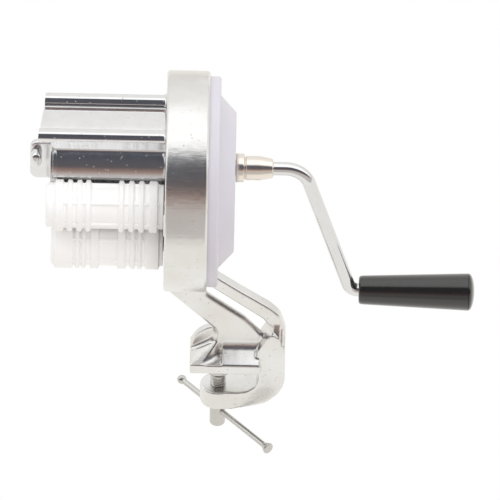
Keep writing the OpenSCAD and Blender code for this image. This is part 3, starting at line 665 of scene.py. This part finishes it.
def hoodOutline():
    h = hood
    outer, neckOut, f = h["inner"] + h["wall"], h["neck"] + h["wall"], h["fillet"]
    cy, cz = h["middle"]
    lift = math.sqrt((outer + f) ** 2 - (neckOut + f) ** 2)
    meet = math.degrees(math.atan2(lift, neckOut + f))
    foot = math.sqrt(h["inner"] ** 2 - h["neck"] ** 2)
    start = math.degrees(math.atan2(foot, h["neck"]))
    crownRadius = (h["neck"] ** 2 + h["crown"] ** 2) / 2 / h["crown"]
    half = math.degrees(math.asin(h["neck"] / crownRadius))
    crest = h["panel"] + h["crown"] - crownRadius
    top, under, bead, neck, slope = h["top"], h["beadUnder"], h["bead"], h["neck"], h["slope"]
    lowIn = h["panel"] - h["panelThick"]

    points = arc((0, cz), outer, 158, 180 - meet, 14)
    points += arc((-neckOut - f, cz + lift), f, -meet, 0, 6)[1:]
    points += [(-neckOut, under, 0.8), (-bead, under, 0.7), (-bead, top - slope, 1.0),
               (-bead + slope, top, 2.4), (-neck, top, 1.4), (-neck, h["panel"], 0.9)]
    points += arc((0, crest), crownRadius, 90 + half, 90 - half, 12)[1:-1]
    points += [(neck, h["panel"], 1.0), (neck, top - slope, 1.0), (neck + slope, top, 2.2), (bead, top, 1.6),
               (bead, under, 0.7), (neckOut, under, 0.8)]
    points += arc((neckOut + f, cz + lift), f, 180, 180 + meet, 6)
    points += arc((0, cz), outer, meet, -110, 48)[1:]
    points += arc((0, cz), h["inner"], -110, start, 44)
    points += [(neck, lowIn, 1.5), (-neck, lowIn, 1.5)]
    points += arc((0, cz), h["inner"], 180 - start, 161, 12)
    return [(p.x + cy, p.y) for p in softened(points, True)]


# the end at the housing grows outwards like a cast fillet
def flared(piece, outline, reach):
    count = len(outline)
    area = sum(a[0] * b[1] - b[0] * a[1] for a, b in zip(outline, outline[1:] + outline[:1]))
    ways = []
    for i, (y, z) in enumerate(outline):
        before, after = Vector(outline[i - 1]), Vector(outline[(i + 1) % count])
        along = (after - before).normalized()
        out = Vector((along.y, -along.x)) * (1 if area > 0 else -1)
        bend = (Vector((y, z)) - before).cross(after - Vector((y, z))) * (1 if area > 0 else -1)
        ways.append((Vector((y, z)), out, 0.6 if bend < -1e-4 else reach))
    bpy.ops.object.select_all(action="DESELECT")
    piece.select_set(True)
    bpy.context.view_layer.objects.active = piece
    bpy.ops.object.mode_set(mode="EDIT")
    bpy.ops.mesh.select_all(action="DESELECT")
    body = bmesh.from_edit_mesh(piece.data)
    face = max(body.faces, key=lambda f: f.calc_center_median().x)
    face.select = True
    bmesh.update_edit_mesh(piece.data)
    steps, done = 6, (0, 0)
    for k in range(1, steps + 1):
        turn = math.pi / 2 * k / steps
        depth, spread = math.sin(turn), 1 - math.cos(turn)
        ahead = ((depth - done[0]) * reach * mm, 0, 0)
        bpy.ops.mesh.extrude_region_move(TRANSFORM_OT_translate={"value": ahead})
        body = bmesh.from_edit_mesh(piece.data)
        for v in body.verts:
            if v.select:
                here = Vector(((v.co.y - ringAt.y) / mm, (v.co.z - ringAt.z) / mm))
                spotted = min(ways, key=lambda w: (w[0] + w[1] * w[2] * done[1] - here).length_squared)
                v.co += Vector((0, *(spotted[1] * spotted[2] * (spread - done[1])))) * mm
        bmesh.update_edit_mesh(piece.data)
        done = (depth, spread)
    bpy.ops.object.mode_set(mode="OBJECT")


def makeHood():
    h = hood
    cy, cz = h["middle"]
    outline = hoodOutline()
    shell = slab(outline, -80, h["right"] - h["flare"], "YZ")
    flared(shell, outline, h["flare"])
    below = h["panel"] - h["panelThick"] + 0.02
    cut(shell, slab([(-95, -45), (h["left"] + 0.5, -45), (h["left"] + 0.5, below), (-95, below)], -40, 50))
    active(shell)
    bpy.ops.object.mode_set(mode="EDIT")
    bpy.ops.mesh.select_all(action="SELECT")
    bpy.ops.mesh.bisect(plane_co=spot(h["nearEnd"], cy - h["bead"], 0),
                        plane_no=Vector((-2 * h["bead"], h["farEnd"] - h["nearEnd"], 0)).normalized(),
                        clear_outer=True, use_fill=True)
    bpy.ops.object.mode_set(mode="OBJECT")
    bevelled(shell, 0.9, 4, 60)
    end = lathe(softened([(0, 2), (0, h["endRadius"], 0.7), (1.0, h["endRadius"], 0.4), (1.4, 25.6, 1.4),
                          (3.6, 24.9, 1.0), (3.6, 2)]), spot(h["left"], cy, cz), sides=160)
    for axis in (upperAxis, lowerAxis):
        cut(end, drill(axis, h["left"] - 1, h["left"] + 5, 14.2, 96))
    near, far = cy - h["neck"] - 1, cy + h["neck"] + 1
    plug = slab([(near, 18), (far, 18), (far, 30), (near, 30)],
                h["left"] + 0.1, h["left"] + 2.5, "YZ")
    bolt = drill((cy + 26.5 * math.cos(math.radians(300)), cz + 26.5 * math.sin(math.radians(300))),
                 h["right"] - 14, h["right"], 3.4, 48)
    bevelled(bolt, 0.5, 2, 50)
    r = 4
    low, high = h["lugZ"]
    ear = slab(arc((h["lugLeft"] + r, low + r), r, 270, 180, 8)
               + arc((h["lugLeft"] + r, high - r), r, 180, 90, 8)
               + [(h["left"] + 1, high), (h["left"] + 1, low)], *h["lugY"])
    bevelled(ear, 1.2, 5, 50)
    cut(ear, lathe([(0, 1.77), (10, 1.77)], spot(-77.8, 2, 12), "y", 32))
    handedOn(joined([shell, end, plug, bolt, ear]), "roller_hood", "roller_hood", angle=30)


makeHood()
print("hood made")

cover = dict(
    lipRadius=54.3, rim=11.1, lip=16.7, face=24.8, footRadius=44.5, topRadius=35.9, wall=2.5, bush=7.02,
)


def makeCover():
    c = cover
    w = c["wall"]
    shell = lathe(softened([
        (c["rim"], c["lipRadius"], 0.3), (c["lip"], c["lipRadius"], 1.4), (c["lip"], c["footRadius"], 2.2),
        (c["face"], c["topRadius"], 1.8), (c["face"], 2)], steps=7)
        + softened([(c["face"] - w, 2), (c["face"] - w, c["topRadius"] - w),
                    (c["lip"] - w, c["footRadius"] - w), (c["lip"] - w, c["lipRadius"] - w),
                    (c["rim"], c["lipRadius"] - w)]),
        spot(0, 0, 0), sides=192, ring=True)
    cut(shell, drill(crankAxis, c["face"] - 6, c["face"] + 2, c["bush"], 96))
    spigot = lathe(softened([(c["rim"] - 2.5, 52.4), (c["rim"] + 1.5, 52.4), (c["rim"] + 1.5, 50.6),
                             (c["rim"] - 2.5, 50.6)]), spot(0, 0, 0), sides=192, ring=True)
    handedOn(joined([shell, spigot]), "gear_cover", "gear_cover", angle=28)


makeCover()
print("cover made")

crank = dict(
    collar=25.0, collarRadius=7.5, hub=30.0, hubRadius=6.3, hubLong=14.4,
    rod=3.5, lean=17.8, bend1=13, bend2=5.5, corner1=59.9, throw=79.2,
    grip=89.6, gripLong=56.8, grip0=7.4, grip1=9.7,
)


def makeCrank():
    c = crank
    x = c["collar"]
    wide = c["collarRadius"]
    collar = lathe(softened([(x, 4.02), (x, wide, 0.6), (x + 4.3, wide, 0.9), (x + 4.7, 5.6, 0.2),
                             (x + 5, 5.6), (x + 5, 4.02)]), spot(0, *crankAxis), sides=96, ring=True)
    handedOn(collar, "crank_collar", "crank_collar")
    x = c["hub"]
    end = x + c["hubLong"]
    wide = c["hubRadius"]
    hub = lathe(softened([(x, 3.52), (x, wide, 0.6), (x + 7.5, wide, 1.5), (end - 0.6, 5.0, 0.5),
                          (end, 4.2, 0.3), (end, 3.52)]), spot(0, *crankAxis), sides=96, ring=True)
    handedOn(hub, "crank_hub", "crank_hub")
    pins = []
    for along, radius, half in ((3.4, 1.25, 6.1), (9.4, 1.0, 5.6)):
        pins.append(lathe(softened([(-half, 0.05), (-half, radius, 0.4), (half, radius, 0.4), (half, 0.05)]),
                          spot(x + along, *crankAxis), "z", 32))
    handedOn(joined(pins), "hub_pins", "hub_pins")


def makeRod():
    c = crank
    lean = math.radians(c["lean"])
    turn = math.radians(90) - lean
    set1 = c["bend1"] * math.tan(turn / 2)
    set2 = c["bend2"] * math.tan(turn / 2)
    slant = c["throw"] / math.cos(lean) - set1 - set2
    corner2 = c["corner1"] + c["throw"] * math.tan(lean)
    start = c["hub"] + 6.4
    down = Vector((math.sin(lean), 0, -math.cos(lean)))
    bpy.ops.object.select_all(action="DESELECT")
    bpy.ops.mesh.primitive_circle_add(vertices=64, radius=c["rod"] * mm, location=spot(start, *crankAxis),
                                      rotation=(0, math.pi / 2, 0))
    piece = bpy.context.object
    settle(piece)
    bpy.ops.object.mode_set(mode="EDIT")
    bpy.ops.mesh.select_all(action="SELECT")
    straight = ((c["corner1"] - set1 - start) * mm, 0, 0)
    bpy.ops.mesh.extrude_edges_move(TRANSFORM_OT_translate={"value": straight})
    bpy.ops.mesh.spin(steps=28, angle=turn, axis=(0, -1, 0),
                      center=spot(c["corner1"] - set1, crankAxis[0], crankAxis[1] - c["bend1"]))
    bpy.ops.mesh.extrude_edges_move(TRANSFORM_OT_translate={"value": down * slant * mm})
    bpy.ops.mesh.spin(steps=20, angle=turn, axis=(0, 1, 0),
                      center=spot(corner2 + set2, gripAxis[0], gripAxis[1] + c["bend2"]))
    far = c["grip"] + c["gripLong"] - 9
    bpy.ops.mesh.extrude_edges_move(TRANSFORM_OT_translate={"value": ((far - corner2 - set2) * mm, 0, 0)})
    bpy.ops.mesh.select_all(action="SELECT")
    bpy.ops.mesh.remove_doubles(threshold=0.00001)
    bpy.ops.mesh.select_all(action="SELECT")
    bpy.ops.mesh.fill_holes(sides=0)
    bpy.ops.mesh.select_all(action="SELECT")
    bpy.ops.mesh.normals_make_consistent(inside=False)
    bpy.ops.object.mode_set(mode="OBJECT")
    handedOn(piece, "crank_rod", "crank_rod", angle=40)


def makeGrip():
    c = crank
    x, end = c["grip"], c["grip"] + c["gripLong"]
    narrow, wide = c["grip0"], c["grip1"]
    body = lathe(softened([(x, 3.56), (x, narrow - 0.2, 1.6), (x + 2.4, narrow + 0.15, 4),
                           (end - 0.2, wide, 0.25), (end, 9.4), (end, 6.5), (end - 9, 6.5),
                           (end - 9, 3.56)], steps=8), spot(0, *gripAxis), sides=128, ring=True)
    handedOn(body, "grip", "grip", angle=35)
    dome = [(end + 3.1 * math.sin(math.radians(a)), 9.6 * math.cos(math.radians(a))) for a in range(6, 90, 6)]
    cap = lathe([(end - 2.5, 0.05), (end - 2.5, 6.48), (end, 6.48), (end, 9.4), (end + 0.12, 9.58)] + dome
                + [(end + 3.1, 0.05)], spot(0, *gripAxis), sides=128)
    handedOn(cap, "grip_cap", "grip_cap", angle=35)


makeCrank()
makeRod()
makeGrip()
print("crank made")

rollers = dict(
    radius=13.3, groove=11.5, shaft=4.02, right=-11.7, upperLeft=-72.3, lowerLeft=-69.4,
    bars=6, firstBar=15, barWide=1.6,
    upperRibs=[(-65.3, 2.1), (-59.8, 1.2), (-54.9, 1.2), (-50.4, 1.2), (-33.4, 1.2), (-28.2, 1.2),
               (-23.1, 1.2), (-16.9, 2.1)],
    lowerRibs=[(-62.8, 4.6), (-55.7, 0.9), (-52.5, 0.9), (-46.9, 2), (-33, 2), (-27.3, 1.1),
               (-23.7, 0.9), (-17.3, 3.4)],
)


def makeRoller(name, axis, left, ribs, endRound):
    r = rollers
    low, high = r["groove"], r["radius"]
    profile = [(left + 4.2, r["shaft"]), (left + 4.2, 5, 0.2), (left, 5, 0.4), (left, low, endRound)]
    for middle, half in ribs:
        profile += [(middle - half - 0.6, low, 0.35), (middle - half + 0.2, high, 0.45),
                    (middle + half - 0.2, high, 0.45), (middle + half + 0.6, low, 0.35)]
    profile += [(r["right"], low, 0.5), (r["right"], r["shaft"])]
    body = lathe(softened(profile, steps=3), spot(0, *axis), sides=144, ring=True)
    pieces = [body]
    for k in range(r["bars"]):
        angle = math.radians(r["firstBar"] + 360 / r["bars"] * k)
        half = r["barWide"] / 2
        start, end = left + endRound + 1, r["right"] - 2
        bpy.ops.object.select_all(action="DESELECT")
        bpy.ops.mesh.primitive_cube_add(size=mm)
        bar = bpy.context.object
        bar.scale = (end - start, high - 0.7 - (low - 1.2), 2 * half)
        settle(bar)
        bevelled(bar, 0.35, 3)
        middle = (high - 0.7 + low - 1.2) / 2
        bar.rotation_euler = (angle, 0, 0)
        bar.location = spot((start + end) / 2, axis[0] + middle * math.cos(angle),
                            axis[1] + middle * math.sin(angle))
        settle(bar)
        pieces.append(bar)
    handedOn(joined(pieces), name, name, angle=34)


makeRoller("upper_roller", upperAxis, rollers["upperLeft"], rollers["upperRibs"], 4)
makeRoller("lower_roller", lowerAxis, rollers["lowerLeft"], rollers["lowerRibs"], 2.5)
print("rollers made")


def makeHead(at, heading, headRadius, headHigh, shaft, length, socket):
    body = lathe(softened([(-length, 0.05), (-length, shaft, 0.3), (0, shaft, 0.1), (0, headRadius, 0.15),
                           (headHigh, headRadius, 0.9), (headHigh, 0.05)], steps=4), at, heading, 48)
    hole = lathe([(headHigh - 1, socket), (headHigh + 1, socket)], at, heading, 6)
    return cut(body, hole)


def makeScrews():
    s = screws
    heads = [makeHead(spot(housing["left"] + s["headHigh"], *post), "left", s["headRadius"], s["headHigh"],
                      s["shaft"], s["length"], s["socket"]) for post in housing["posts"]]
    handedOn(joined(heads), "cover_screws", "cover_screws")
    for name, axis, left in (("upper_screw", upperAxis, rollers["upperLeft"]),
                             ("lower_screw", lowerAxis, rollers["lowerLeft"])):
        handedOn(makeHead(spot(left + 4.1, *axis), "left", 4.6, 2.6, 1.5, 9.9, 2.09), name, name)
    pin = lathe([(0, 0.05), (0, 1.75), (7, 1.75), (7, 0.05)], spot(-77.8, 9, 12), (math.pi / 2, 0, 0), 64)
    dome = [(8.5 + 3 * math.sin(math.radians(a)), 3 * math.cos(math.radians(a))) for a in range(0, 90, 9)]
    button = lathe([(4, 0.05), (4, 2.8), (4.3, 3)] + dome
                   + [(11.5, 0.05)], (0, 0, 0), (math.pi / 2, 0, 0), 64)
    button.scale = (1, 1, 1.5)
    settle(button)
    button.location = spot(-77.8, 9, 12)
    settle(button)
    pin = joined([pin, button])
    handedOn(pin, "hood_pin", "hood_pin", angle=40)


makeScrews()
print("screws made")

clamp = dict(
    x=17.9, bottom=-160.3, shoulder=-126.4, tip=-123.0, radius=4.0, pitch=1.25, root=0.72,
    plainTo=-143.2,   # the thread starts above the bar's plain end
    padTop=-120.8, padRadius=7.5, barZ=-150.6, barTurn=-50.3, barBack=31, barLong=73.3, bar=1.5,
)


def makeThread():
    c = clamp
    low, high = c["plainTo"] - 0.4, c["shoulder"] - 1.0
    turns = int((high - low) / c["pitch"])
    root, crest, p = c["radius"] - c["root"], c["radius"] - 0.02, c["pitch"]
    outline = [(root, 0), (root, 0.10 * p), (crest, 0.44 * p), (crest, 0.58 * p), (root, 0.92 * p), (root, p)]
    bpy.ops.object.select_all(action="DESELECT")
    bpy.ops.mesh.primitive_plane_add(size=mm)
    piece = bpy.context.object
    bpy.ops.object.mode_set(mode="EDIT")
    bpy.ops.mesh.select_all(action="SELECT")
    bpy.ops.mesh.merge(type="CENTER")
    bpy.ops.transform.translate(value=(outline[0][0] * mm, 0, 0))
    for (r, z), (s, w) in zip(outline, outline[1:]):
        bpy.ops.mesh.extrude_vertices_move(TRANSFORM_OT_translate={"value": ((s - r) * mm, 0, (w - z) * mm)})
    bpy.ops.object.mode_set(mode="OBJECT")
    modified(piece, "SCREW", screw_offset=p * mm, iterations=turns, steps=40, render_steps=40,
             use_merge_vertices=True, merge_threshold=0.000002, use_smooth_shade=True, axis="Z")
    bpy.ops.object.mode_set(mode="EDIT")
    bpy.ops.mesh.select_all(action="SELECT")
    bpy.ops.mesh.remove_doubles(threshold=0.000002)
    bpy.ops.mesh.normals_make_consistent(inside=False)
    bpy.ops.object.mode_set(mode="OBJECT")
    piece.location = spot(c["x"], 0, low)
    settle(piece)
    plain = c["plainTo"] - c["bottom"]
    end = lathe(softened([(0, 0.05), (0, 3.2, 0.8), (0.9, 4.0, 0.8), (plain - 0.4, 4.0, 0.3), (plain, root),
                          (plain, 0.05)]), spot(c["x"], 0, c["bottom"]), "z", 64)
    neck = lathe(softened([(0, 0.05), (0, root), (0.3, 4.0, 0.3), (2.0, 4.0, 0.4), (2.0, 3), (5.2, 3),
                           (5.2, 0.05)]), spot(c["x"], 0, c["shoulder"] - 2.0), "z", 64)
    handedOn(joined([piece, end, neck]), "clamp_screw", "clamp_screw", angle=40)


def makePad():
    c = clamp
    top, wide = c["padTop"], c["padRadius"]
    pad = lathe(softened([(top - 5.5, 3.06), (top - 5.5, 5, 0.6), (top - 2.6, 7.1, 0.5),
                          (top - 2.4, wide, 0.3), (top, wide, 0.7), (top, 0.05)])
                + [(top - 1.5, 0.05), (top - 1.5, 3.06)],
                spot(c["x"], 0, 0), "z", 96, ring=True)
    handedOn(pad, "pressure_pad", "pressure_pad")


def makeBar():
    c = clamp
    back, far = -c["barBack"], c["barLong"] - c["barBack"]
    ball = [(back + 1.5 + 2.4 * math.sin(math.radians(a)), 2.4 * math.cos(math.radians(a)))
            for a in range(-84, 46, 6)]
    bar = lathe([(back - 0.9, 0.05)] + ball + softened([(back + 3.35, c["bar"]), (far - 4.2, c["bar"], 2),
                (far - 0.7, 3.05, 0.6), (far, 2.8, 0.5), (far, 0.05)]),
                spot(c["x"], 0, c["barZ"]), (0, math.pi / 2, math.radians(c["barTurn"])), 48)
    handedOn(bar, "t_bar", "t_bar", angle=40)


makeThread()
makePad()
makeBar()
print("clamp screw made")
